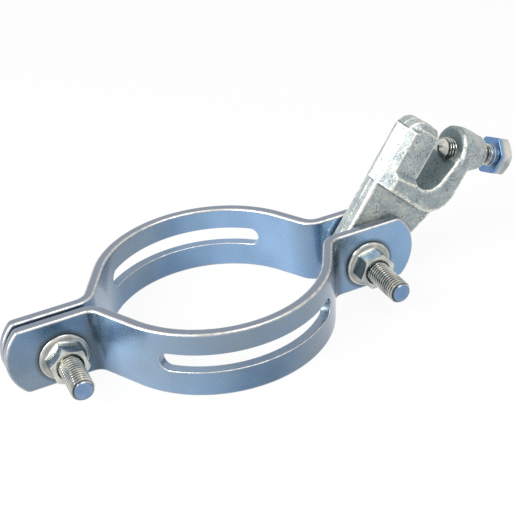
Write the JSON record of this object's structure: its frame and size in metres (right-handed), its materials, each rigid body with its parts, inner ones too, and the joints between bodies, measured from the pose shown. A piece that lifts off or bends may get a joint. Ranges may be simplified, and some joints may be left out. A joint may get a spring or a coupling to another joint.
{
  "type": "pipe clamp with beam clamp",
  "caption": "Split band clamp for a pipe, bolted through its ears, with a cast beam clamp and set screw that swivels on one of the bolts.",
  "frame": {"origin": "centre of the bore for the pipe, at mid height of the bands", "axes": "+Z along the pipe's axis, +X towards the beam clamp, the nuts and threaded bolt ends face -Y"},
  "size_m": [0.2434, 0.103, 0.071],
  "materials": {
    "band_steel": "bright zinc plate with a blue tint",
    "hardware_steel": "bright zinc plate",
    "galvanised_casting": "zinc coated casting, grey and slightly rough"
  },
  "bodies": {
    "rear_half": {"rear_half_band": "band_steel", "left_bolt": "hardware_steel", "right_bolt": "hardware_steel"},
    "front_half": {"front_half_band": "band_steel"},
    "left_nut": {"left_flange_nut": "hardware_steel"},
    "right_nut": {"right_flange_nut": "hardware_steel"},
    "swivel": {"beam_clamp": "galvanised_casting"},
    "screw": {"set_screw": "hardware_steel"}
  },
  "joints": [
    {"name": "band_opening", "type": "slide", "parent": "rear_half", "child": "front_half", "axis": [0, -1, 0], "range_m": [0, 0.015]},
    {"name": "left_nut_turn", "type": "hinge", "parent": "front_half", "child": "left_nut", "pos_m": [-0.0697, 0, -0.0027], "axis": [0, -1, 0], "range_deg": [0, 3600]},
    {"name": "right_nut_turn", "type": "hinge", "parent": "front_half", "child": "right_nut", "pos_m": [0.0697, 0, -0.0027], "axis": [0, -1, 0], "range_deg": [0, 3600]},
    {"name": "beam_clamp_swivel", "type": "hinge", "parent": "rear_half", "child": "swivel", "pos_m": [0.0697, 0, -0.0027], "axis": [0, -1, 0], "range_deg": [-152, 44]},
    {"name": "set_screw_travel", "type": "slide", "parent": "swivel", "child": "screw", "axis": [0.9212, 0, -0.3891], "range_m": [-0.0063, 0.012]}
  ],
  "couplings": [
    {"joint": "left_nut_turn", "follows": "band_opening", "rad_per_m": 4188.8},
    {"joint": "right_nut_turn", "follows": "band_opening", "rad_per_m": 4188.8}
  ]
}
